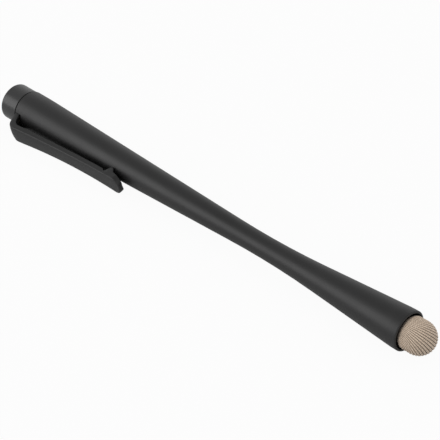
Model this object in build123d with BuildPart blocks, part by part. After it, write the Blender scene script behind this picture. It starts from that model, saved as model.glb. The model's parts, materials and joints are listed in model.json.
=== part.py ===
"""Stylus pen with a waisted metal barrel, a sprung pocket clip and a soft knitted tip.

The pen lies on a table along +X, tail to tip, with +Z up. The origin is the centre of the
flat tail end. It rests on the two ends of its barrel and on one corner of its clip, which
points to -Y and a little down. All sizes are in millimetres, all angles in degrees.
"""

import os
from math import acos, asin, atan, atan2, cos, degrees, hypot, pi, radians, sin, tan

from build123d import *

# Barrel: two long cones that blend into a waist, with a short straight land at each end.
rim_x = 122.0
end_diameter = 9.0
waist_from_rim = 36.4
waist_cone_radius = 2.21
waist_blend_run = 12.0
tail_land = 3.9
tail_blend_run = 3.0
rim_land = 1.6
rim_blend_run = 0.82
rim_round = 0.3
tail_edge_bevel = 0.12
drill_point_angle = 118.0

# Tail end: the cap, its stud, the washer in the seam and the insert that takes the stud.
cap_length = 5.0
cap_step = 0.14
cap_edge_round = 0.4
cap_seam_round = 0.12
washer_thickness = 0.3
washer_inset = 0.2
tail_wall = 0.8
stud_seat_depth = 3.6
stud_reach = 8.6
stud_end_bevel = 0.5
thread_pitch = 0.8
thread_depth = 0.35
thread_turns = 9
insert_wall = 0.8
insert_length = 8.0
tail_bore_spare = 1.0

# Clip: a ring on the stud, a leaning leg and a long arm that ends in a nub.
ring_thickness = 1.2
ring_width = 0.9
leg_length = 1.45
leg_lean = 22.0
clip_rise = 3.19
clip_root_width = 4.7
clip_waist_width = 4.0
clip_end_width = 4.9
clip_thickness = 1.33
bend_outer_radius = 2.25
bend_inner_radius = 2.0
arm_lift = 0.91
arm_bow_radius = 254.0
arm_reach = 34.35
arm_end_corner = 2.2
arm_end_edge = 1.15
arm_end_round = 0.25
nub_from_end = 4.0
nub_flat = 0.3
nub_rise_run = 1.2
nub_peak_round = 0.35
nub_foot_round = 0.6
nub_gap = 0.3
flex_slit = 0.06
flex_from_bend = 1.9

# Tip: a soft core in a knitted cover, gathered into a ring that runs in a brass holder.
rim_wall = 0.45
mouth_depth = 2.6
tip_gap = 0.25
tip_straight = 2.5
mesh_thickness = 0.25
mesh_base_round = 1.2
tip_travel = 1.0
travel_spare = 0.3
tip_neck_diameter = 3.6
crimp_wall = 0.2
crimp_length = 3.0
crimp_from_rim = 5.0
core_tail_past_crimp = 0.6
holder_wall = 0.7
holder_length = 9.3
holder_floor = 2.3
holder_from_mouth = 0.5
holder_mouth_bevel = 0.2
front_bore_spare = 0.2

# Clearances.
press_gap = 0.01
screw_gap = 0.05
slide_gap = 0.05
ring_gap = 0.2
washer_hole_gap = 0.1
counterbore_gap = 0.15
notch_gap = 0.1
cover_gap = 0.02

# Barrel outline, as stations along X and radii. Each blend's radius follows from its run.
end_radius = end_diameter / 2
barrel_tail_x = cap_length + washer_thickness
shoulder_x = barrel_tail_x + tail_land
waist_x = rim_x - waist_from_rim
lip_x = rim_x - rim_land
tail_slope = (end_radius - waist_cone_radius) / (waist_x - shoulder_x)
front_slope = (end_radius - waist_cone_radius) / (lip_x - waist_x)
tail_blend = tail_blend_run / tan(atan(tail_slope) / 2)
rim_blend = rim_blend_run / tan(atan(front_slope) / 2)
waist_blend = waist_blend_run / tan((atan(tail_slope) + atan(front_slope)) / 2)
drill_cone = 1 / tan(radians(drill_point_angle / 2))

# Tail stations and radii, from the barrel's wall inwards.
cap_diameter = end_diameter - 2 * cap_step
counterbore_radius = end_radius - tail_wall
ring_radius = counterbore_radius - counterbore_gap
ring_hole_radius = ring_radius - ring_width
stud_radius = ring_hole_radius - ring_gap
insert_radius = stud_radius + screw_gap + insert_wall
tail_bore_radius = insert_radius + press_gap
ring_front_x = barrel_tail_x + ring_thickness
tail_bore_end_x = ring_front_x + insert_length + tail_bore_spare

# Tip stations and radii.
mouth_radius = end_radius - rim_wall
mouth_floor_x = rim_x - mouth_depth
mesh_radius = mouth_radius - tip_gap
mesh_base_x = mouth_floor_x + tip_travel + travel_spare
dome_centre_x = rim_x + tip_straight
neck_radius = tip_neck_diameter / 2
skirt_radius = neck_radius + mesh_thickness
crimp_radius = skirt_radius + cover_gap + crimp_wall
holder_bore_radius = crimp_radius + slide_gap
holder_radius = holder_bore_radius + holder_wall
front_bore_radius = holder_radius + press_gap
holder_front_x = mouth_floor_x - holder_from_mouth
holder_back_x = holder_front_x - holder_length
front_bore_end_x = holder_back_x - front_bore_spare
crimp_front_x = rim_x - crimp_from_rim
crimp_back_x = crimp_front_x - crimp_length
core_back_x = crimp_back_x - core_tail_past_crimp


def barrel_cone_radius(x):
    """Radius of the barrel's long tail cone."""
    return end_radius - tail_slope * (x - shoulder_x)


# Clip bend, as stations along X and heights above the pen's axis.
clip_top = end_radius + clip_rise
leg_foot_height = ring_radius
bend_start_height = clip_top - bend_outer_radius * (1 - sin(radians(leg_lean)))
bend_start_x = barrel_tail_x + (bend_start_height - leg_foot_height) * tan(radians(leg_lean))
bend_centre_x = bend_start_x + bend_outer_radius * cos(radians(leg_lean))
bend_centre_height = clip_top - bend_outer_radius
arm_end_x = bend_centre_x + arm_reach
nub_x = arm_end_x - nub_from_end

# The arm's bow touches the bend and passes over the nub at its lift above the barrel.
over_nub_height = barrel_cone_radius(nub_x) + arm_lift + clip_thickness
bend_to_nub = hypot(nub_x - bend_centre_x, over_nub_height - bend_centre_height)
bend_to_bow = arm_bow_radius + bend_outer_radius
nub_direction = atan2(over_nub_height - bend_centre_height, nub_x - bend_centre_x)
bow_opening = acos((bend_to_bow**2 + bend_to_nub**2 - arm_bow_radius**2) / (2 * bend_to_bow * bend_to_nub))
arm_dip = 90 - degrees(nub_direction + bow_opening)
arm_start_x = bend_centre_x + bend_outer_radius * sin(radians(arm_dip))
arm_centre_x = bend_centre_x + bend_to_bow * sin(radians(arm_dip))
arm_centre_height = bend_centre_height + bend_to_bow * cos(radians(arm_dip))
flex_x = arm_start_x + flex_from_bend


def arm_height(x, depth=0.0):
    """Height of the arm above the pen's axis, at a depth below its outer face."""
    radius = arm_bow_radius + depth
    return arm_centre_height - (radius**2 - (x - arm_centre_x) ** 2) ** 0.5


# The pen rolls until the clip's lower corner lies on the table beside the barrel.
half_root = clip_root_width / 2
clip_roll = degrees(asin(end_radius / hypot(clip_top, half_root)) - atan2(half_root, clip_top))
outward = (0, -cos(radians(clip_roll)), -sin(radians(clip_roll)))
sideways = (0, sin(radians(clip_roll)), -cos(radians(clip_roll)))
clip_side = Plane(origin=(0, 0, 0), x_dir=(1, 0, 0), z_dir=sideways)
clip_plan = Plane(origin=(0, 0, 0), x_dir=(1, 0, 0), z_dir=outward)

os.makedirs("parts", exist_ok=True)


# Barrel
with BuildPart() as barrel:
    with BuildSketch() as half_section:
        with BuildLine():
            outline = FilletPolyline(
                (barrel_tail_x, end_radius),
                (shoulder_x, end_radius),
                (waist_x, waist_cone_radius),
                (lip_x, end_radius),
                (rim_x, end_radius),
                radius=[tail_blend, waist_blend, rim_blend],
            )
            Polyline(
                outline @ 1,
                (rim_x, mouth_radius),
                (mouth_floor_x, mouth_radius),
                (mouth_floor_x, front_bore_radius),
                (front_bore_end_x, front_bore_radius),
                (front_bore_end_x - front_bore_radius * drill_cone, 0),
                (tail_bore_end_x + tail_bore_radius * drill_cone, 0),
                (tail_bore_end_x, tail_bore_radius),
                (ring_front_x, tail_bore_radius),
                (ring_front_x, counterbore_radius),
                (barrel_tail_x, counterbore_radius),
                outline @ 0,
            )
        make_face()
        fillet(half_section.vertices().sort_by_distance((rim_x, end_radius))[0], rim_round)
        chamfer(half_section.vertices().sort_by_distance((barrel_tail_x, end_radius))[0], tail_edge_bevel)
    revolve(axis=Axis.X)
    notch_end_x = barrel_tail_x + leg_length + (end_radius - leg_foot_height) * tan(radians(leg_lean))
    with BuildSketch(clip_plan):
        with Locations((barrel_tail_x, 0)):
            Rectangle(2 * (notch_end_x + notch_gap - barrel_tail_x), clip_root_width + 2 * notch_gap)
    extrude(amount=end_diameter, mode=Mode.SUBTRACT)
barrel.part.label = "barrel"
export_step(barrel.part, "parts/barrel.step")


# Threaded insert, pressed into the barrel's tail
with BuildPart() as tail_insert:
    with BuildSketch(Plane.YZ.offset(ring_front_x)):
        Circle(insert_radius)
        Circle(stud_radius + screw_gap, mode=Mode.SUBTRACT)
    extrude(amount=insert_length)
tail_insert.part.label = "tail_insert"
export_step(tail_insert.part, "parts/tail_insert.step")


# Tail cap
with BuildPart() as tail_cap:
    with BuildSketch() as half_section:
        with BuildLine():
            Polyline(
                (0, 0),
                (0, cap_diameter / 2),
                (cap_length, cap_diameter / 2),
                (cap_length, stud_radius + press_gap),
                (cap_length - stud_seat_depth, stud_radius + press_gap),
                (cap_length - stud_seat_depth, 0),
                close=True,
            )
        make_face()
        fillet(half_section.vertices().sort_by_distance((0, cap_diameter / 2))[0], cap_edge_round)
        fillet(half_section.vertices().sort_by_distance((cap_length, cap_diameter / 2))[0], cap_seam_round)
    revolve(axis=Axis.X)
tail_cap.part.label = "tail_cap"
export_step(tail_cap.part, "parts/tail_cap.step")


# Stud, pressed into the cap, with its thread as a row of grooves
with BuildPart() as tail_stud:
    stud_back_x = cap_length - stud_seat_depth
    stud_front_x = cap_length + stud_reach
    with BuildSketch(Plane.YZ.offset(stud_back_x)):
        Circle(stud_radius)
    extrude(amount=stud_front_x - stud_back_x)
    chamfer(tail_stud.edges().group_by(Axis.X)[-1], stud_end_bevel)
    with BuildSketch():
        first_groove_x = stud_front_x - stud_end_bevel - thread_pitch / 2
        for turn in range(thread_turns):
            groove_x = first_groove_x - turn * thread_pitch
            with BuildLine():
                Polyline(
                    (groove_x - thread_pitch / 2, stud_radius),
                    (groove_x, stud_radius - thread_depth),
                    (groove_x + thread_pitch / 2, stud_radius),
                    close=True,
                )
            make_face()
    revolve(axis=Axis.X, mode=Mode.SUBTRACT)
tail_stud.part.label = "tail_stud"
export_step(tail_stud.part, "parts/tail_stud.step")


# Washer in the seam between cap and barrel
with BuildPart() as seam_washer:
    with BuildSketch(Plane.YZ.offset(cap_length)):
        Circle(cap_diameter / 2 - washer_inset)
        Circle(stud_radius + washer_hole_gap, mode=Mode.SUBTRACT)
    extrude(amount=washer_thickness)
seam_washer.part.label = "seam_washer"
export_step(seam_washer.part, "parts/seam_washer.step")


# Clip foot: the ring on the stud, the leg and the bend
with BuildPart() as clip_foot:
    with BuildSketch(clip_side) as side_view:
        leg_front_x = barrel_tail_x + leg_length
        inner_height = arm_height(flex_x, clip_thickness)
        corner_height = arm_height(arm_start_x + bend_inner_radius, clip_thickness)
        corner_x = leg_front_x + (corner_height - leg_foot_height) * tan(radians(leg_lean))
        with BuildLine():
            leg_back = Line((barrel_tail_x, leg_foot_height), (bend_start_x, bend_start_height))
            bend = JernArc(leg_back @ 1, leg_back % 1, bend_outer_radius, leg_lean - 90 - arm_dip)
            outer = ThreePointArc(
                bend @ 1,
                ((arm_start_x + flex_x) / 2, arm_height((arm_start_x + flex_x) / 2)),
                (flex_x, arm_height(flex_x)),
            )
            Polyline(
                outer @ 1,
                (flex_x, inner_height),
                (corner_x, arm_height(corner_x, clip_thickness)),
                (leg_front_x, leg_foot_height),
                (ring_front_x, leg_foot_height),
                (ring_front_x, ring_hole_radius),
                (barrel_tail_x, ring_hole_radius),
                leg_back @ 0,
            )
        make_face()
        inside_corner = (corner_x, arm_height(corner_x, clip_thickness))
        fillet(side_view.vertices().sort_by_distance(inside_corner)[0], bend_inner_radius)
    extrude(amount=half_root, both=True)
    with BuildSketch(Plane.YZ.offset(barrel_tail_x)):
        Circle(ring_radius)
    extrude(amount=ring_thickness)
    with BuildSketch(Plane.YZ.offset(barrel_tail_x)):
        Circle(ring_hole_radius)
    extrude(amount=ring_thickness, mode=Mode.SUBTRACT)
clip_foot.part.label = "clip_foot"
export_step(clip_foot.part, "parts/clip_foot.step")


# Clip arm: the long strip that springs away from the barrel, with its nub and lead-in
with BuildPart() as clip_arm:
    with BuildSketch(clip_side) as side_view:
        arm_back_x = flex_x + flex_slit
        nub_height = barrel_cone_radius(nub_x) + nub_gap
        nub_back_x = nub_x - nub_flat
        nub_foot_x = nub_back_x - nub_rise_run
        end_height = arm_height(arm_end_x)
        with BuildLine():
            outer = ThreePointArc(
                (arm_back_x, arm_height(arm_back_x)),
                ((arm_back_x + arm_end_x) / 2, arm_height((arm_back_x + arm_end_x) / 2)),
                (arm_end_x, end_height),
            )
            inner = ThreePointArc(
                (nub_foot_x, arm_height(nub_foot_x, clip_thickness)),
                ((arm_back_x + nub_foot_x) / 2, arm_height((arm_back_x + nub_foot_x) / 2, clip_thickness)),
                (arm_back_x, arm_height(arm_back_x, clip_thickness)),
            )
            Polyline(
                outer @ 1,
                (arm_end_x, end_height - arm_end_edge),
                (nub_x, nub_height),
                (nub_back_x, nub_height),
                inner @ 0,
            )
            Line(inner @ 1, outer @ 0)
        make_face()
        fillet(side_view.vertices().sort_by_distance(inner @ 0)[0], nub_foot_round)
        fillet(side_view.vertices().sort_by_distance((nub_back_x, nub_height))[0], nub_peak_round)
        fillet(side_view.vertices().sort_by_distance((nub_x, nub_height))[0], nub_peak_round)
        fillet(side_view.vertices().sort_by_distance(outer @ 1)[0], arm_end_round)
        fillet(
            side_view.vertices().sort_by_distance((arm_end_x, end_height - arm_end_edge))[0], arm_end_round
        )
    extrude(amount=max(clip_root_width, clip_end_width) / 2, both=True)
    with BuildSketch(clip_plan) as plan_view:
        with BuildLine():
            arm_middle_x = (arm_back_x + arm_end_x) / 2
            half_waist = clip_waist_width / 2
            half_end = clip_end_width / 2
            lower = ThreePointArc((arm_back_x, -half_root), (arm_middle_x, -half_waist), (arm_end_x, -half_end))
            upper = ThreePointArc((arm_back_x, half_root), (arm_middle_x, half_waist), (arm_end_x, half_end))
            Line(lower @ 1, upper @ 1)
            Line(upper @ 0, lower @ 0)
        make_face()
        fillet(plan_view.vertices().group_by(Axis.X)[-1], arm_end_corner)
    extrude(amount=2 * clip_top, mode=Mode.INTERSECT)
clip_arm.part.label = "clip_arm"
export_step(clip_arm.part, "parts/clip_arm.step")


# Tip holder, pressed into the barrel's front bore
with BuildPart() as tip_holder:
    with BuildSketch(Plane.YZ.offset(holder_back_x)):
        Circle(holder_radius)
    extrude(amount=holder_length)
    with BuildSketch(Plane.YZ.offset(holder_back_x + holder_floor)):
        Circle(holder_bore_radius)
    extrude(amount=holder_length - holder_floor, mode=Mode.SUBTRACT)
    chamfer(tip_holder.edges().group_by(Axis.X)[-1], holder_mouth_bevel)
tip_holder.part.label = "tip_holder"
export_step(tip_holder.part, "parts/tip_holder.step")


# Crimp ring around the gathered skirt of the cover
with BuildPart() as crimp_ring:
    with BuildSketch(Plane.YZ.offset(crimp_back_x)):
        Circle(crimp_radius)
        Circle(skirt_radius + cover_gap, mode=Mode.SUBTRACT)
    extrude(amount=crimp_length)
crimp_ring.part.label = "crimp_ring"
export_step(crimp_ring.part, "parts/crimp_ring.step")


# Soft core, with the dome's shape less the thickness of its cover
core_radius = mesh_radius - mesh_thickness - cover_gap
core_base_x = mesh_base_x + mesh_thickness + cover_gap
with BuildPart() as tip_core:
    with BuildSketch() as half_section:
        with BuildLine():
            dome = CenterArc((dome_centre_x, 0), core_radius, 0, 90)
            Polyline(
                dome @ 1,
                (core_base_x, core_radius),
                (core_base_x, neck_radius - cover_gap),
                (core_back_x, neck_radius - cover_gap),
                (core_back_x, 0),
                dome @ 0,
            )
        make_face()
        core_base_round = mesh_base_round - mesh_thickness - cover_gap
        fillet(half_section.vertices().sort_by_distance((core_base_x, core_radius))[0], core_base_round)
    revolve(axis=Axis.X)
tip_core.part.label = "tip_core"
export_step(tip_core.part, "parts/tip_core.step")


# Knitted cover: a dome, turned in under the core and gathered along its neck
with BuildPart() as tip_mesh:
    with BuildSketch() as half_section:
        with BuildLine():
            outside = CenterArc((dome_centre_x, 0), mesh_radius, 0, 90)
            inside = CenterArc((dome_centre_x, 0), mesh_radius - mesh_thickness, 0, 90)
            Line(outside @ 0, inside @ 0)
            Polyline(
                inside @ 1,
                (mesh_base_x + mesh_thickness, mesh_radius - mesh_thickness),
                (mesh_base_x + mesh_thickness, neck_radius),
                (crimp_back_x, neck_radius),
                (crimp_back_x, skirt_radius),
                (mesh_base_x, skirt_radius),
                (mesh_base_x, mesh_radius),
                outside @ 1,
            )
        make_face()
        inner_corner = (mesh_base_x + mesh_thickness, mesh_radius - mesh_thickness)
        fillet(half_section.vertices().sort_by_distance(inner_corner)[0], mesh_base_round - mesh_thickness)
        fillet(half_section.vertices().sort_by_distance((mesh_base_x, mesh_radius))[0], mesh_base_round)
    revolve(axis=Axis.X)
tip_mesh.part.label = "tip_mesh"
export_step(tip_mesh.part, "parts/tip_mesh.step")

print(f"clip roll {clip_roll:.3f} degrees, arm dip {arm_dip:.3f} degrees")
print(f"flex axis at x {flex_x:.4f}, height {arm_height(flex_x, clip_thickness / 2):.4f}")
print(f"cap travel per turn {thread_pitch:.3f}, per radian {thread_pitch / (2 * pi):.6f}")
print(f"overall length {dome_centre_x + mesh_radius:.3f}")
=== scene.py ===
# %% [markdown]
# A waisted stylus pen with a knitted tip
#
# The barrel, the cap and the brass inside are turned parts with real sizes, so they come
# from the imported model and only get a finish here. Three things are made anew because the
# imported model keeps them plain: the clip, which is one bent strip, the stud, which has a
# real screw thread, and the tip, which is a knitted cover over a soft core.

# %% Load the pen
import json
import math

import bpy
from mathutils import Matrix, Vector


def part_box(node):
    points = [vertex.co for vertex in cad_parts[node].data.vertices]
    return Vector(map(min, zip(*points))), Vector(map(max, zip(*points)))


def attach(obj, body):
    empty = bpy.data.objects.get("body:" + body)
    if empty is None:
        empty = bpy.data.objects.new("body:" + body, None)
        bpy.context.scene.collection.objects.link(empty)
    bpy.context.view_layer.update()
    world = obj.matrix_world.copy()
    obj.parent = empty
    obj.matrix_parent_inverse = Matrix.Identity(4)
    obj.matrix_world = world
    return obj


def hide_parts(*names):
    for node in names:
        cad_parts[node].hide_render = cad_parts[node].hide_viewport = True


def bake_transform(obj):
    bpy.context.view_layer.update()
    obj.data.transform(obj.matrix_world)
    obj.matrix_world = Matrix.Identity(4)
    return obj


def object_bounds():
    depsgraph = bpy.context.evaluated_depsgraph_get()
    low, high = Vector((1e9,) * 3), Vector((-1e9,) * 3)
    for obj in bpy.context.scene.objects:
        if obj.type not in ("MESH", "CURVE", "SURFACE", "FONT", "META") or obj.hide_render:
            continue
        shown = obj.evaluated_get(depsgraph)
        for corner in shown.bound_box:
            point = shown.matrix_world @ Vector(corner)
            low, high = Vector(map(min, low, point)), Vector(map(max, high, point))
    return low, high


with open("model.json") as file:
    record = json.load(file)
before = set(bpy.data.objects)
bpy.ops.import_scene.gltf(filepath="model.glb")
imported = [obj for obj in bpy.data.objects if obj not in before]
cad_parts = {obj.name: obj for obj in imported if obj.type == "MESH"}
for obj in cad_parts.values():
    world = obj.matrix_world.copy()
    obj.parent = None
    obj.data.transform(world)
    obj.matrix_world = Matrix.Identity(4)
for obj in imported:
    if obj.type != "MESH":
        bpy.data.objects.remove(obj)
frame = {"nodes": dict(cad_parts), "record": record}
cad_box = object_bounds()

MM = 0.001
pen = frame["nodes"]
print("pieces from the frame:", ", ".join(sorted(pen)))
print("box in mm:", [[round(c / MM, 2) for c in corner] for corner in cad_box])

# %% [markdown]
# The camera
#
# The pen lies on a table and is seen from the tip's side, from about 35 degrees above it.
# The place of the camera comes from matching the outline of the pen, so the camera is set
# by its eye point and its direction. A long lens keeps the two ends nearly the same size.

# %% Camera
picture_width = 440
focal_length_in_pixels = 1805
sensor_width = 36.0
eye = Vector((292.910, -222.188, 225.032)) * MM
towards_camera = Vector((0.57833, -0.57343, 0.58027))
bpy.ops.object.camera_add(location=eye, rotation=towards_camera.to_track_quat("Z", "Y").to_euler())
camera = bpy.context.object
camera.name = "table_view"
camera.data.sensor_width = sensor_width
camera.data.lens = sensor_width * focal_length_in_pixels / picture_width
bpy.context.scene.camera = camera
print("lens", round(camera.data.lens, 2), "mm")

# %% [markdown]
# Small helpers for node trees
#
# Every finish below is a tree of shader nodes. Adding a node, setting its values and
# joining two sockets are the same three lines each time, so they get short names here.

# %% Node helpers
def add_node(tree, kind, inputs=None, **settings):
    """Adds a shader node, with its settings and the plain values of its inputs."""
    made = tree.nodes.new("ShaderNode" + kind)
    for name, value in settings.items():
        setattr(made, name, value)
    for name, value in (inputs or {}).items():
        if isinstance(value, bpy.types.NodeSocket):
            tree.links.new(value, made.inputs[name])
        else:
            made.inputs[name].default_value = value
    return made


def reckon(tree, operation, first, second=0.0):
    """A Math node: each input is a socket or a number."""
    return add_node(tree, "Math", {0: first, 1: second}, operation=operation).outputs[0]


def between(tree, amount, low, high, start=0.0, end=1.0):
    """Maps start..end of a value to low..high."""
    inputs = {"Value": amount, "From Min": start, "From Max": end, "To Min": low, "To Max": high}
    return add_node(tree, "MapRange", inputs).outputs[0]


def mixed_colour(tree, amount, first, second):
    """A colour between two others, each a socket or a colour."""
    made = add_node(tree, "Mix", data_type="RGBA")
    for socket, value in ((made.inputs["Factor"], amount), (made.inputs[6], first), (made.inputs[7], second)):
        if isinstance(value, bpy.types.NodeSocket):
            tree.links.new(value, socket)
        else:
            socket.default_value = value if isinstance(value, float) else (*value, 1.0)
    return made.outputs[2]


def seen_ray(tree, straight=1.0, mirrored=1.0):
    """A value for rays from the camera, another for rays that show in metal or glass, and 0 for light."""
    path = add_node(tree, "LightPath")
    shiny = reckon(tree, "MAXIMUM", path.outputs["Is Glossy Ray"], path.outputs["Is Transmission Ray"])
    shiny = reckon(tree, "MULTIPLY", shiny, mirrored)
    return reckon(tree, "MAXIMUM", reckon(tree, "MULTIPLY", path.outputs["Is Camera Ray"], straight), shiny)


# %% [markdown]
# The studio
#
# The pen lies on a white sweep. Black metal shows little but its reflections, so the light
# is set by what each side of the barrel mirrors: a broad lamp low on the left gives the pale
# band along the middle, a dim ceiling gives the dark band above it, and the white sweep gives
# the two pale edges. The floor is part paper and part glow: the glow keeps it white and the
# paper keeps the shadow.

# %% Floor
floor_glow = 0.95
mirrored_glow = 0.14
paper_colour = (0.62, 0.62, 0.62, 1.0)
bpy.ops.object.select_all(action="DESELECT")
bpy.ops.mesh.primitive_plane_add(size=8.0, location=(0.06, 0.0, cad_box[0].z))
floor = bpy.context.object
floor.name = "sweep_floor"
sweep = bpy.data.materials.new("white_sweep")
sweep.use_nodes = True
tree = sweep.node_tree
tree.nodes.clear()
paper = add_node(tree, "BsdfDiffuse", {"Color": paper_colour})
glow = add_node(tree, "Emission", {"Strength": 1.0})
both = add_node(tree, "MixShader", {0: seen_ray(tree, floor_glow, mirrored_glow)})
tree.links.new(paper.outputs[0], both.inputs[1])
tree.links.new(glow.outputs[0], both.inputs[2])
tree.links.new(both.outputs[0], add_node(tree, "OutputMaterial").inputs["Surface"])
floor.data.materials.append(sweep)
print("floor at", round(floor.location.z / MM, 2), "mm")

# %% Sky
horizon_light = 1.0
zenith_light = 0.48
dimming_starts, dimming_ends = 0.38, 0.92
room_light = 1.0
studio = bpy.data.worlds.new("studio")
studio.use_nodes = True
bpy.context.scene.world = studio
tree = studio.node_tree
tree.nodes.clear()
upward = add_node(tree, "SeparateXYZ", {0: add_node(tree, "TexCoord").outputs["Generated"]}).outputs["Z"]
level = between(tree, upward, horizon_light, zenith_light, dimming_starts, dimming_ends)
sky = add_node(tree, "MixShader", {0: seen_ray(tree)})
for socket, strength in ((sky.inputs[1], room_light), (sky.inputs[2], level)):
    tree.links.new(add_node(tree, "Background", {"Strength": strength}).outputs[0], socket)
tree.links.new(sky.outputs[0], add_node(tree, "OutputWorld").inputs["Surface"])
print("sky from", horizon_light, "at the horizon to", zenith_light, "overhead")

# %% Lamp
pen_middle = Vector((64.0, 0.0, 0.0)) * MM
lamp_direction = Vector((-0.58, -0.755, 0.31)).normalized()
lamp_distance = 0.7
lamp_width = 0.5
lamp_power = 1.15
bpy.ops.object.light_add(type="AREA", location=pen_middle + lamp_direction * lamp_distance,
                         rotation=lamp_direction.to_track_quat("Z", "Y").to_euler())
lamp = bpy.context.object
lamp.name = "low_left_lamp"
lamp.data.shape = "SQUARE"
lamp.data.size = lamp_width
lamp.data.energy = lamp_power
print("lamp brightness", round(lamp_power / (math.pi * lamp_width**2), 2))

bpy.context.scene.view_settings.view_transform = "Standard"

# %% [markdown]
# Shared effects
#
# Three effects come back on several pieces. Blasting and lacquer leave a fine grain and
# faint cloudy patches. A lathe leaves rings around the pen's axis. Handling rubs the coat
# off sharp edges. Each is a node group that puts out a height or a mask, so that every
# finish can use it with its own size.

# %% Effect groups
def new_group(name, takes, gives):
    """An empty node group with float sockets, and its two end nodes."""
    group = bpy.data.node_groups.new(name, "ShaderNodeTree")
    for label, value in takes.items():
        group.interface.new_socket(label, in_out="INPUT", socket_type="NodeSocketFloat").default_value = value
    for label in gives:
        group.interface.new_socket(label, in_out="OUTPUT", socket_type="NodeSocketFloat")
    return group, group.nodes.new("NodeGroupInput").outputs, group.nodes.new("NodeGroupOutput").inputs


def fine_grain():
    group, takes, gives = new_group("fine_grain", {"Grains per metre": 9000.0, "Patches per metre": 180.0},
                                    ("Height", "Patches"))
    place = add_node(group, "TexCoord").outputs["Object"]
    fine, broad = takes["Grains per metre"], takes["Patches per metre"]
    grain = add_node(group, "TexNoise", {"Vector": place, "Scale": fine, "Detail": 2.0})
    patches = add_node(group, "TexNoise", {"Vector": place, "Scale": broad, "Detail": 4.0})
    group.links.new(grain.outputs[0], gives["Height"])
    group.links.new(between(group, patches.outputs[0], 0.0, 1.0, 0.3, 0.7), gives["Patches"])
    return group


def turned_rings():
    group, takes, gives = new_group("turned_rings", {"Pitch": 0.0001}, ("Height",))
    place = add_node(group, "SeparateXYZ", {0: add_node(group, "TexCoord").outputs["Object"]}).outputs
    squares = reckon(group, "ADD", reckon(group, "POWER", reckon(group, "ABSOLUTE", place["Y"]), 2.0),
                     reckon(group, "POWER", reckon(group, "ABSOLUTE", place["Z"]), 2.0))
    outwards = reckon(group, "SQRT", squares)
    turns = reckon(group, "DIVIDE", reckon(group, "ADD", place["X"], outwards), takes["Pitch"])
    ripple = reckon(group, "SINE", reckon(group, "MULTIPLY", turns, 2 * math.pi))
    uneven = add_node(group, "TexNoise", {"W": turns, "Scale": 0.31, "Detail": 2.0}, noise_dimensions="1D")
    group.links.new(reckon(group, "MULTIPLY", between(group, ripple, 0.0, 1.0, -1.0, 1.0), uneven.outputs[0]),
                    gives["Height"])
    return group


def edge_wear():
    group, takes, gives = new_group("edge_wear", {"Width": 0.0001, "Nicks per metre": 2500.0}, ("Mask",))
    rounded = add_node(group, "Bevel", {"Radius": takes["Width"]}, samples=6)
    flat = add_node(group, "NewGeometry").outputs["Normal"]
    turn = add_node(group, "VectorMath", {0: rounded.outputs[0], 1: flat}, operation="DOT_PRODUCT")
    edge = between(group, turn.outputs["Value"], 1.0, 0.0, 0.86, 0.995)
    place = add_node(group, "TexCoord").outputs["Object"]
    nicks = add_node(group, "TexNoise", {"Vector": place, "Scale": takes["Nicks per metre"], "Detail": 3.0})
    group.links.new(reckon(group, "MULTIPLY", edge, between(group, nicks.outputs[0], 0.0, 1.0, 0.42, 0.66)),
                    gives["Mask"])
    return group


effects = {group.name: group for group in (fine_grain(), turned_rings(), edge_wear())}
print("effects:", ", ".join(effects))

# %% [markdown]
# The black coats
#
# Barrel and cap are black anodised metal, the clip is lacquered and the washer is dull. All
# four are a dark colour with faint patches, a roughness that follows the patches, a little
# bare metal along sharp edges and a fine surface. One function makes them, because they
# differ only in those numbers: the barrel is blasted matt, the cap is turned and shinier.

# %% Black coats
def place_effect(tree, name, **values):
    made = tree.nodes.new("ShaderNodeGroup")
    made.node_tree = effects[name]
    for label, value in values.items():
        made.inputs[label.replace("_", " ")].default_value = value
    return made.outputs


def new_finish(name):
    finish = bpy.data.materials.new(name)
    finish.use_nodes = True
    return finish, finish.node_tree, finish.node_tree.nodes["Principled BSDF"]


def add_relief(tree, shader, height, depth):
    bump = add_node(tree, "Bump", {"Height": height, "Distance": depth, "Strength": 1.0})
    tree.links.new(bump.outputs[0], shader.inputs["Normal"])


def black_coat(name, colour, roughness, grain_depth, ring_pitch, ring_share, wear):
    """A dark coat. roughness is (low, high), grain_depth is in metres, wear is 0 to 1."""
    finish, tree, shader = new_finish(name)
    grain = place_effect(tree, "fine_grain", Grains_per_metre=7000.0, Patches_per_metre=150.0)
    rings = place_effect(tree, "turned_rings", Pitch=ring_pitch)
    worn = place_effect(tree, "edge_wear", Width=0.00012, Nicks_per_metre=1800.0)
    dark = tuple(0.9 * c for c in colour)
    pale = tuple(1.12 * c for c in colour)
    bare = tuple(4.0 * c for c in colour)
    coat = mixed_colour(tree, grain["Patches"], dark, pale)
    coat = mixed_colour(tree, reckon(tree, "MULTIPLY", worn["Mask"], wear), coat, bare)
    tree.links.new(coat, shader.inputs["Base Color"])
    tree.links.new(between(tree, grain["Patches"], *roughness), shader.inputs["Roughness"])
    relief = reckon(tree, "ADD", grain["Height"], reckon(tree, "MULTIPLY", rings["Height"], ring_share))
    add_relief(tree, shader, relief, grain_depth)
    return finish


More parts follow.
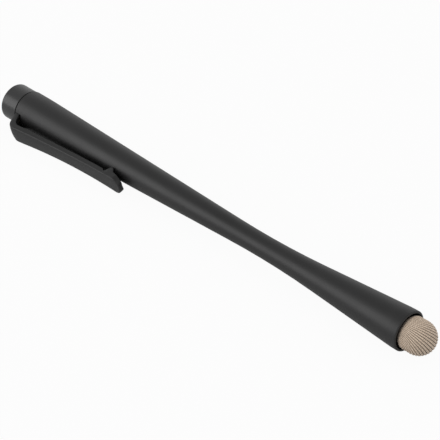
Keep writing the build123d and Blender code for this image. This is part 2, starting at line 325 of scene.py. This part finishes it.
finishes = {
    "barrel_black": black_coat("blasted_black", (0.0125, 0.0123, 0.0125), roughness=(0.40, 0.46),
                               grain_depth=3e-6, ring_pitch=0.00016, ring_share=0.3, wear=0.12),
    "cap_black": black_coat("turned_black", (0.026, 0.026, 0.0263), roughness=(0.22, 0.28),
                            grain_depth=1.2e-6, ring_pitch=0.00012, ring_share=1.5, wear=0.45),
    "clip_black": black_coat("lacquer_black", (0.0135, 0.0135, 0.0138), roughness=(0.36, 0.44),
                             grain_depth=2e-6, ring_pitch=0.0004, ring_share=0.0, wear=0.5),
    "washer_black": black_coat("dull_black", (0.006, 0.006, 0.006), roughness=(0.6, 0.7),
                               grain_depth=3e-6, ring_pitch=0.0002, ring_share=0.2, wear=0.0),
}
print("coats:", ", ".join(f.name for f in finishes.values()))

# %% [markdown]
# Brass
#
# The insert, the stud, the cup behind the tip and the crimp ring are turned brass, bare and
# slightly tarnished. It is a metal, so its colour is the colour of its reflections.

# %% Brass
def turned_brass():
    finish, tree, shader = new_finish("turned_brass")
    grain = place_effect(tree, "fine_grain", Grains_per_metre=5000.0, Patches_per_metre=400.0)
    rings = place_effect(tree, "turned_rings", Pitch=0.0001)
    colour = mixed_colour(tree, grain["Patches"], (0.66, 0.46, 0.20), (0.76, 0.57, 0.29))
    tree.links.new(colour, shader.inputs["Base Color"])
    tree.links.new(between(tree, grain["Patches"], 0.34, 0.22), shader.inputs["Roughness"])
    shader.inputs["Metallic"].default_value = 1.0
    add_relief(tree, shader, rings["Height"], 2e-6)
    return finish


finishes["brass"] = turned_brass()

for row in frame["record"]["subparts"]:
    if row["material_slot"] in finishes:
        pen[row["node"]].material_slots[0].material = finishes[row["material_slot"]]
        print(row["node"], "gets", finishes[row["material_slot"]].name)

# %% [markdown]
# Drawing and joining shapes
#
# The clip and the turned pieces all start as an outline. An outline is drawn the way one
# does by hand: a single point is pulled from place to place. Two solids are then joined,
# cut or crossed with a Boolean modifier.

# %% Drawing helpers
def pick_only(piece):
    bpy.ops.object.select_all(action="DESELECT")
    piece.select_set(True)
    bpy.context.view_layer.objects.active = piece


def draw_line(name, points):
    """A new mesh with one line through the points, left in edit mode and all selected."""
    bpy.ops.object.select_all(action="DESELECT")
    bpy.ops.mesh.primitive_plane_add(size=MM, location=(0.0, 0.0, 0.0))
    piece = bpy.context.object
    piece.name = piece.data.name = name
    bpy.ops.object.mode_set(mode="EDIT")
    bpy.ops.mesh.merge(type="CENTER")
    bpy.ops.transform.translate(value=points[0])
    for here, there in zip(points, points[1:]):
        bpy.ops.mesh.extrude_region_move(TRANSFORM_OT_translate={"value": Vector(there) - Vector(here)})
    bpy.ops.mesh.select_all(action="SELECT")
    return piece


def turned(name, profile, steps):
    """A line of stations along X and radii, spun once round the pen's axis."""
    piece = draw_line(name, [(x, 0.0, r) for x, r in profile])
    bpy.ops.mesh.spin(steps=steps, angle=2 * math.pi, center=(0.0, 0.0, 0.0), axis=(1.0, 0.0, 0.0))
    bpy.ops.mesh.select_all(action="SELECT")
    bpy.ops.mesh.remove_doubles(threshold=1e-7)
    bpy.ops.mesh.normals_make_consistent(inside=False)
    bpy.ops.object.mode_set(mode="OBJECT")
    return piece


def apply_modifier(piece, kind, **settings):
    pick_only(piece)
    modifier = piece.modifiers.new(kind.lower(), kind)
    for name, value in settings.items():
        setattr(modifier, name, value)
    bpy.ops.object.modifier_apply(modifier=modifier.name)


def boolean(piece, tool, operation):
    apply_modifier(piece, "BOOLEAN", object=tool, operation=operation, solver="EXACT")
    bpy.data.objects.remove(tool)


def round_corners(corners, steps=8):
    """Points of a path whose corners, given as (x, y, radius), are rounded."""
    points = []
    for before, corner, after in zip(corners[-1:] + corners, corners, corners[1:] + corners[:1]):
        here = Vector(corner[:2])
        if not corner[2]:
            points.append(here)
            continue
        back, on = (Vector(before[:2]) - here).normalized(), (Vector(after[:2]) - here).normalized()
        half = back.angle(on) / 2
        middle = here + (back + on).normalized() * corner[2] / math.sin(half)
        start, end = (here + way * corner[2] / math.tan(half) - middle for way in (back, on))
        points += [middle + start.slerp(end, k / steps) for k in range(steps + 1)]
    return points


# %% [markdown]
# The clip
#
# On the real pen the clip is one strip: a ring held under the cap, a leg that leans forward,
# a bend, and a long arm that ends in a nub and a slanted nose. Its side view could be pulled
# out and cut with its plan view, but then its edges are hard to round, because the two cuts
# meet in slivers. So the strip is drawn as sections across it, each a rounded bar that is a
# little crowned, and the sections are bridged one to the next, as a lofted sheet would be.

# %% Clip sizes
tail_face = 5.3
ring_thickness = 1.2
ring_hole_radius = 2.65
leg_foot_height = 3.55
leg_length = 1.45
leg_lean = math.radians(22.0)
clip_top = 7.69
bend_radius = 2.25
bend_inner_radius = 2.0
arm_dip = math.radians(6.868)
bow_radius = 254.0
arm_reach = 34.35
clip_thickness = 1.33
nose_height = 1.15
nub_from_end = 4.0
nub_flat = 0.3
nub_rise = 1.2
nub_height = 3.911
nub_foot_round = 0.6
nub_peak_round = 0.35
root_width = 4.7
waist_width = 4.0
end_width = 4.9
end_corner = 2.2
bend_crown = 0.25
end_crown = 0.08
edge_round = 0.22
nose_round = 0.25
clip_roll = math.radians(17.037)
straight_root = 2.0
root_run = 4.5
bend_steps = 10
arm_steps = 10

bend_start = clip_top - bend_radius * (1 - math.sin(leg_lean))
bend_x = tail_face + (bend_start - leg_foot_height) * math.tan(leg_lean) + bend_radius * math.cos(leg_lean)
bend_height = clip_top - bend_radius
arm_start = bend_x + bend_radius * math.sin(arm_dip)
arm_end = bend_x + arm_reach
bow_x = bend_x + (bow_radius + bend_radius) * math.sin(arm_dip)
bow_height = bend_height + (bow_radius + bend_radius) * math.cos(arm_dip)


def arm_height(x, depth=0.0):
    """Height above the pen's axis of the bowed arm, at a depth under its outer face."""
    return bow_height - math.sqrt((bow_radius + depth) ** 2 - (x - bow_x) ** 2)


def leg_meets_arm(leg_x, depth):
    """Corner between a side of the leaning leg and the arm's face at a depth."""
    lean, dip = math.tan(leg_lean), math.tan(arm_dip)
    height = arm_height(arm_start, depth) + dip * (arm_start - leg_x + leg_foot_height * lean)
    height /= 1 + dip * lean
    return leg_x + (height - leg_foot_height) * lean, height


print("clip arm from", round(arm_start, 2), "to", round(arm_end, 2), "mm")

# %% Clip outline
def half_width(x):
    """Half the clip's width at a station: a hollow curve through its root, its waist and its end."""
    waist_x = (arm_start + straight_root + arm_end) / 2
    place = max((x - waist_x) / (arm_end - waist_x), -1.0)
    hollow = (root_width + end_width) / 2 - waist_width
    half = (waist_width + (end_width - root_width) / 2 * place + hollow * place**2) / 2
    into_corner = min(max(x - (arm_end - end_corner), 0.0), end_corner)
    return half - end_corner + math.sqrt(end_corner**2 - into_corner**2)


def nose_drop(x):
    """How far the nose's rounded end has fallen in at a station."""
    into_round = min(max(x - (arm_end - nose_round), 0.0), nose_round)
    return nose_round - math.sqrt(nose_round**2 - into_round**2)


def arc(middle, radius, start, end, steps):
    """Points of an arc in the side view, with its angles counted from the tail's side upwards."""
    angles = [start + (end - start) * k / steps for k in range(steps + 1)]
    return [(middle[0] - radius * math.cos(a), middle[1] + radius * math.sin(a)) for a in angles]


nub_x = arm_end - nub_from_end
nub_foot = nub_x - nub_flat - nub_rise
arm_turn = math.pi / 2 + arm_dip
corner_x, corner_height = leg_meets_arm(tail_face + leg_length, clip_thickness)
gap_middle = Vector((math.cos((leg_lean + arm_turn) / 2), -math.sin((leg_lean + arm_turn) / 2)))
gap_middle *= bend_inner_radius / math.cos((arm_turn - leg_lean) / 2)
inner_middle = (corner_x + gap_middle.x, corner_height + gap_middle.y)
inner_bend = arc(inner_middle, bend_inner_radius, leg_lean, arm_turn, bend_steps)
outer_bend = arc((bend_x, bend_height), bend_radius, leg_lean, arm_turn, bend_steps)

foot_heights = (ring_hole_radius + 0.1, ring_hole_radius + 0.55)
sides = [((tail_face, h), (tail_face + ring_thickness, h)) for h in foot_heights]
sides += [((tail_face, leg_foot_height), (tail_face + leg_length, leg_foot_height))]
sides += list(zip(outer_bend, inner_bend))
lag = inner_bend[-1][0] - arm_start
for k in range(1, arm_steps + 1):
    x = arm_start + root_run * k / arm_steps
    inner_x = x + lag * (1 - k / arm_steps)
    sides.append(((x, arm_height(x)), (inner_x, arm_height(inner_x, clip_thickness))))
nub_start = nub_foot - nub_foot_round
arm_run = nub_start - arm_start - root_run
for k in range(1, arm_steps + 1):
    x = arm_start + root_run + arm_run * k / arm_steps
    sides.append(((x, arm_height(x)), (x, arm_height(x, clip_thickness))))
nub = [(nub_start, arm_height(nub_start, clip_thickness), 0.0)]
nub += [(nub_foot, arm_height(nub_foot, clip_thickness), nub_foot_round)]
nub += [(nub_x - nub_flat, nub_height, nub_peak_round), (nub_x, nub_height, nub_peak_round)]
nub += [(arm_end, arm_height(arm_end) - nose_height, 0.0)]
sides += [((p.x, arm_height(p.x)), (p.x, p.y)) for p in round_corners(nub, 5)[1:-1]]
nose_slope = (arm_height(arm_end) - nose_height - nub_height) / nub_from_end
nose_stations = [nub_x + 0.8, nub_x + 1.5]
nose_stations += [arm_end - end_corner * (1 - math.sin(math.pi / 2 * k / 11)) for k in range(12)]
for x in nose_stations:
    under = nub_height + nose_slope * (x - nub_x)
    sides.append(((x, arm_height(x) - nose_drop(x)), (x, under + nose_drop(x))))
print("the clip has", len(sides), "sections")

# %% Clip strip
def section(outer, inner):
    """Points round one section of the strip, given its outer and its inner side."""
    outer, inner = Vector(outer), Vector(inner)
    middle, upwards = (outer + inner) / 2, (outer - inner).normalized()
    half, thick = half_width(outer.x), (outer - inner).length / 2
    bulge = bend_crown + (end_crown - bend_crown) * min(max((outer.x - arm_start) / arm_reach, 0.0), 1.0)
    radius = min(edge_round, 0.9 * thick)
    ring_of_points = []
    for corner, (left, up) in enumerate(((1, 1), (-1, 1), (-1, -1), (1, -1))):
        for k in range(4):
            angle = math.pi / 2 * (corner + k / 3)
            ring_of_points.append((left * (half - radius) + radius * math.cos(angle),
                                   up * (thick - radius) + radius * math.sin(angle)))
        if corner in (0, 2):
            ring_of_points += [(left * share * (half - radius), up * thick) for share in (0.5, 0.0, -0.5)]
    places = []
    for left, up in ring_of_points:
        place = middle + upwards * (up + bulge * (1 - (left / half) ** 2))
        places.append((place.x * MM, left * MM, place.y * MM))
    return places


loops = []
for outer, inner in sides:
    loops.append(draw_line("clip_section", section(outer, inner)))
    bpy.ops.mesh.edge_face_add()
    bpy.ops.mesh.delete(type="ONLY_FACE")
    bpy.ops.object.mode_set(mode="OBJECT")
clip = loops[0]
for loop in loops:
    loop.select_set(True)
bpy.context.view_layer.objects.active = clip
bpy.ops.object.join()
clip.name = clip.data.name = "pocket_clip"
bpy.ops.object.mode_set(mode="EDIT")
bpy.ops.mesh.select_all(action="SELECT")
bpy.ops.mesh.bridge_edge_loops()
bpy.ops.mesh.select_all(action="SELECT")
bpy.ops.mesh.fill_holes(sides=0)
bpy.ops.mesh.normals_make_consistent(inside=False)
bpy.ops.object.mode_set(mode="OBJECT")
print("strip has", len(clip.data.polygons), "faces")

# %% Clip ring
ring_back, ring_front = tail_face * MM, (tail_face + ring_thickness) * MM
ring_inside, ring_outside = ring_hole_radius * MM, leg_foot_height * MM
hole_spare = 1.0 * MM
ring_steps = 72
ring_points = [(ring_back, ring_inside), (ring_back, ring_outside), (ring_front, ring_outside),
               (ring_front, ring_inside), (ring_back, ring_inside)]
ring = turned("clip_ring", ring_points, ring_steps)
hole_back, hole_front = ring_back - hole_spare, ring_front + hole_spare
hole_points = [(hole_back, 0.0), (hole_back, ring_inside), (hole_front, ring_inside), (hole_front, 0.0)]
boolean(clip, turned("ring_hole", hole_points, ring_steps), "DIFFERENCE")
boolean(clip, ring, "UNION")
clip.rotation_euler.x = math.pi / 2 + clip_roll
pick_only(clip)
bpy.ops.object.transform_apply(location=False, rotation=True, scale=False)
bpy.ops.object.shade_smooth_by_angle(angle=math.radians(40.0))
clip.data.materials.append(finishes["clip_black"])
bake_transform(clip)
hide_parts("clip_foot", "clip_arm")
print("clip has", len(clip.data.polygons), "faces")

# %% [markdown]
# The stud
#
# The stud in the cap screws into the brass insert, and it shows when the cap is unscrewed.
# A bump would not give it a thread, so a tooth is wound along it with the Screw modifier and
# joined to a plain core.

# %% Stud with a thread
stud_low, stud_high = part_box("tail_stud")
stud_radius = stud_high.z
thread_pitch = 0.8 * MM
thread_depth = 0.35 * MM
thread_turns = 9
end_bevel = 0.5 * MM
small_edge = 0.1 * MM
tooth_sink = 0.15 * MM
thread_end = stud_high.x - end_bevel
thread_start = thread_end - thread_turns * thread_pitch
root_radius = stud_radius - thread_depth
core_points = [(stud_low.x, 0.0), (stud_low.x, stud_radius - small_edge),
               (stud_low.x + small_edge, stud_radius), (thread_start, stud_radius),
               (thread_start + thread_depth, root_radius), (thread_end, root_radius),
               (stud_high.x, stud_radius - end_bevel - small_edge), (stud_high.x, 0.0)]
stud = turned("screw_stud", core_points, 48)
tooth_foot = root_radius - tooth_sink
tooth_outline = ((-0.2, tooth_foot), (0.1, stud_radius), (0.2, stud_radius), (0.5, tooth_foot))
thread = draw_line("stud_thread", [(thread_start + x * MM, 0.0, r) for x, r in tooth_outline])
bpy.ops.mesh.edge_face_add()
bpy.ops.mesh.delete(type="ONLY_FACE")
bpy.ops.object.mode_set(mode="OBJECT")
apply_modifier(thread, "SCREW", axis="X", angle=2 * math.pi, screw_offset=thread_pitch,
               iterations=thread_turns - 1, steps=40, render_steps=40, use_merge_vertices=False)
bpy.ops.object.mode_set(mode="EDIT")
bpy.ops.mesh.select_all(action="SELECT")
bpy.ops.mesh.remove_doubles(threshold=1e-7)
bpy.ops.mesh.fill_holes(sides=0)
bpy.ops.mesh.normals_make_consistent(inside=False)
bpy.ops.object.mode_set(mode="OBJECT")
boolean(stud, thread, "UNION")
pick_only(stud)
bpy.ops.object.mode_set(mode="EDIT")
bpy.ops.mesh.select_all(action="SELECT")
bpy.ops.mesh.remove_doubles(threshold=2e-6)
bpy.ops.mesh.dissolve_degenerate(threshold=2e-6)
bpy.ops.mesh.quads_convert_to_tris(quad_method="BEAUTY", ngon_method="BEAUTY")
bpy.ops.object.mode_set(mode="OBJECT")
bpy.ops.object.shade_smooth_by_angle(angle=math.radians(30.0))
stud.data.materials.append(finishes["brass"])
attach(stud, "cap")
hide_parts("tail_stud")
print("stud has", len(stud.data.polygons), "faces")

# %% [markdown]
# The soft core
#
# Under the knit sits a moulded rubber core: a dome, a straight side and a neck that the
# crimp ring holds. It never shows, but it fills the tip, so it is turned from its half
# outline a little inside the cover.

# %% Rubber core
def soft_rubber():
    finish, tree, shader = new_finish("soft_rubber")
    grain = place_effect(tree, "fine_grain", Grains_per_metre=4000.0, Patches_per_metre=500.0)
    tree.links.new(mixed_colour(tree, grain["Patches"], (0.03, 0.03, 0.03), (0.055, 0.055, 0.055)),
                   shader.inputs["Base Color"])
    tree.links.new(between(tree, grain["Patches"], 0.62, 0.75), shader.inputs["Roughness"])
    add_relief(tree, shader, grain["Height"], 4e-6)
    return finish


def dome_profile(centre_x, radius, base_x, base_round, neck_radius, neck_x, steps=14):
    """Half outline of the tip, from the end of its neck to the pole."""
    neck_flare = 0.3 * MM
    turns = [math.pi / 2 * k / steps for k in range(steps + 1)]
    profile = [(neck_x, neck_radius), (base_x - neck_flare, neck_radius), (base_x, neck_radius + neck_flare)]
    for a in turns:
        profile.append((base_x + base_round * (1 - math.cos(a)), radius - base_round * (1 - math.sin(a))))
    profile += [(centre_x + radius * math.sin(a), radius * math.cos(a)) for a in turns[:-1]]
    return profile + [(centre_x + radius, 0.0)]


core_low, core_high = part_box("tip_core")
core_gap = 0.1 * MM
core_radius = core_high.z - core_gap
dome_x = core_high.x - core_high.z
core_neck = 1.76 * MM
core_base = 121.4 * MM
core_foot_round = 1.3 * MM
core_profile = dome_profile(dome_x, core_radius, core_base, core_foot_round, core_neck, core_low.x)
core = turned("tip_pad", [(core_low.x, 0.0)] + core_profile, 48)
pick_only(core)
bpy.ops.object.shade_smooth_by_angle(angle=math.radians(40.0))
core.data.materials.append(soft_rubber())
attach(core, "tip")
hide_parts("tip_core")
print("core radius", round(core_radius / MM, 2), "mm")

# %% [markdown]
# The knitted cover
#
# The cover is a piece of fine jersey, stretched over the core and gathered along its neck.
# It is made in two layers. The inner layer is the cloth as a thin closed sheet, which stops
# the core showing between the loops; it is coloured far darker than the yarn, as painted
# shade for the gaps between the loops. The outer layer is the yarn itself, because each loop
# catches the light and the rows fan out over the dome, which a bump could not do. Both layers
# get painted shade that darkens them where they lie deep between the loops.

# %% Cover under the yarn
cover_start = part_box("tip_mesh")[0].x
cover_base = 121.25 * MM
cover_foot_round = 1.45 * MM
cover_radius = 3.62 * MM
skirt_radius = 1.92 * MM
cloth_thickness = 0.05 * MM
# Between these heights from the dome's middle the painted shade fades out.
valley_height = 3.5 * MM
crest_height = 3.74 * MM


def yarn_with_painted_shade(name, dark, pale, valley_shade_colour):
    """Spun yarn, with painted shade where it lies deep between the loops: the last colour is that painted
    shade.
    """
    finish, tree, shader = new_finish(name)
    grain = place_effect(tree, "fine_grain", Grains_per_metre=16000.0, Patches_per_metre=2600.0)
    place = add_node(tree, "SeparateXYZ", {0: add_node(tree, "TexCoord").outputs["Object"]}).outputs
    ahead = reckon(tree, "MAXIMUM", reckon(tree, "SUBTRACT", place["X"], dome_x), 0.0)
    from_middle = add_node(tree, "CombineXYZ", {"X": ahead, "Y": place["Y"], "Z": place["Z"]}).outputs[0]
    height = add_node(tree, "VectorMath", {0: from_middle}, operation="LENGTH").outputs["Value"]
    # Painted shade: the colour darkens towards the shade colour as the yarn lies deeper than the crest
    # height.
    free_of_painted_shade = between(tree, height, 0.0, 1.0, valley_height, crest_height)
    colour = mixed_colour(tree, free_of_painted_shade, valley_shade_colour, mixed_colour(tree, grain["Patches"], dark, pale))
    tree.links.new(colour, shader.inputs["Base Color"])
    tree.links.new(between(tree, grain["Patches"], 0.72, 0.86), shader.inputs["Roughness"])
    shader.inputs["Sheen Weight"].default_value = 0.25
    add_relief(tree, shader, grain["Height"], 6e-6)
    return finish


# The sheet's colours are painted shade, far darker than the yarn, for the gaps between the loops; the third
# is a deeper painted shade.
ground_shade_dark, ground_shade_pale, ground_valley_shade = (0.17, 0.132, 0.098), (0.23, 0.18, 0.135), (0.14, 0.108, 0.08)
cover_profile = dome_profile(dome_x, cover_radius, cover_base, cover_foot_round, skirt_radius, cover_start)
cover = turned("tip_cover", cover_profile, 64)
apply_modifier(cover, "SOLIDIFY", thickness=cloth_thickness, offset=-1.0)
pick_only(cover)
bpy.ops.object.shade_smooth_by_angle(angle=math.radians(40.0))
cover.data.materials.append(yarn_with_painted_shade("knit_ground_painted_shade", ground_shade_dark, ground_shade_pale, ground_valley_shade))
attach(cover, "tip")
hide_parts("tip_mesh")
print("cover from", round(cover_start / MM, 2), "to", round((dome_x + cover_radius) / MM, 2), "mm")

# %% Yarn loops
wale_pitch = 0.63
course_pitch = 0.45
loop_height = 0.70
loop_lean = 0.10
leg_pairing = 0.09
loop_relief = 0.1
yarn_radius = 0.1
yarn_centre = 3.6
points_per_loop = 10
fan_out = 0.12
fan_length = 3.5
straight_side = 1.7
foot_round = 1.5
knit_edge = straight_side + 0.8 * foot_round * math.pi / 2
cloth_reach = yarn_centre * math.pi / 2 + knit_edge
upper_way = Vector((0.0, -0.6065, 0.795))
cross_way = Vector((1.0, 0.0, 0.0)).cross(upper_way)


def on_tip(along, across, lift):
    """Place on the tip of a point of the flat cloth, and how much the cloth is drawn in there."""
    reach = math.hypot(along, across)
    way = (upper_way * along + cross_way * across) / max(reach, 1e-9)
    angle = min(reach / yarn_centre, math.pi / 2)
    down_side = max(reach - yarn_centre * math.pi / 2, 0.0)
    tuck = max(down_side - straight_side, 0.0) / foot_round
    x = yarn_centre * math.cos(angle) - min(down_side, straight_side) - foot_round * math.sin(tuck)
    outwards = yarn_centre * math.sin(angle) - foot_round * (1 - math.cos(tuck))
    drawn_in = outwards / reach if reach > 1e-6 else 1.0
    x += lift * (math.cos(angle) - math.sin(tuck))
    outwards += lift * math.sin(angle) * math.cos(tuck)
    return (Vector((dome_x / MM + x, 0.0, 0.0)) + way * outwards) * MM, drawn_in


def course(row):
    """Points and thicknesses of one row of loops across the cloth."""
    middle = row * course_pitch
    pitch = wale_pitch * (1 - fan_out * math.tanh(middle / fan_length))
    half_loops = int(math.sqrt(max(cloth_reach**2 - middle**2, 0.0)) / pitch)
    for k in range(-half_loops * points_per_loop, half_loops * points_per_loop + 1):
        turn = 2 * math.pi * k / points_per_loop
        along = middle - loop_height / 2 * math.cos(turn)
        pitch = wale_pitch * (1 - fan_out * math.tanh(along / fan_length))
        across = pitch * (k / points_per_loop + loop_lean * math.sin(2 * turn) + leg_pairing * math.sin(turn))
        place, drawn_in = on_tip(along, across, -loop_relief * math.cos(2 * turn))
        yield place, drawn_in**0.7


rows = int(cloth_reach / course_pitch)
yarn = bpy.data.curves.new("tip_knit", "CURVE")
yarn.dimensions = "3D"
yarn.bevel_depth = yarn_radius * MM
yarn.bevel_resolution = 0
yarn.use_fill_caps = True
for row in range(-rows, rows + 1):
    points = list(course(row))
    if len(points) < 2:
        continue
    strand = yarn.splines.new("POLY")
    strand.points.add(len(points) - 1)
    for point, (place, thickness) in zip(strand.points, points):
        point.co = (*place, 1.0)
        point.radius = thickness
knit = bpy.data.objects.new("tip_knit", yarn)
bpy.context.scene.collection.objects.link(knit)
pick_only(knit)
bpy.ops.object.convert(target="MESH")
knit = bpy.context.object
bpy.ops.object.shade_smooth()
# The third yarn colour is painted shade, for yarn lying deep between the loops.
yarn_dark, yarn_pale, yarn_valley_shade = (0.765, 0.615, 0.48), (0.885, 0.722, 0.568), (0.22, 0.17, 0.125)
knit.data.materials.append(yarn_with_painted_shade("beige_yarn_painted_shade", yarn_dark, yarn_pale, yarn_valley_shade))
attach(knit, "tip")
print("yarn in", 2 * rows + 1, "rows,", len(knit.data.polygons), "faces")
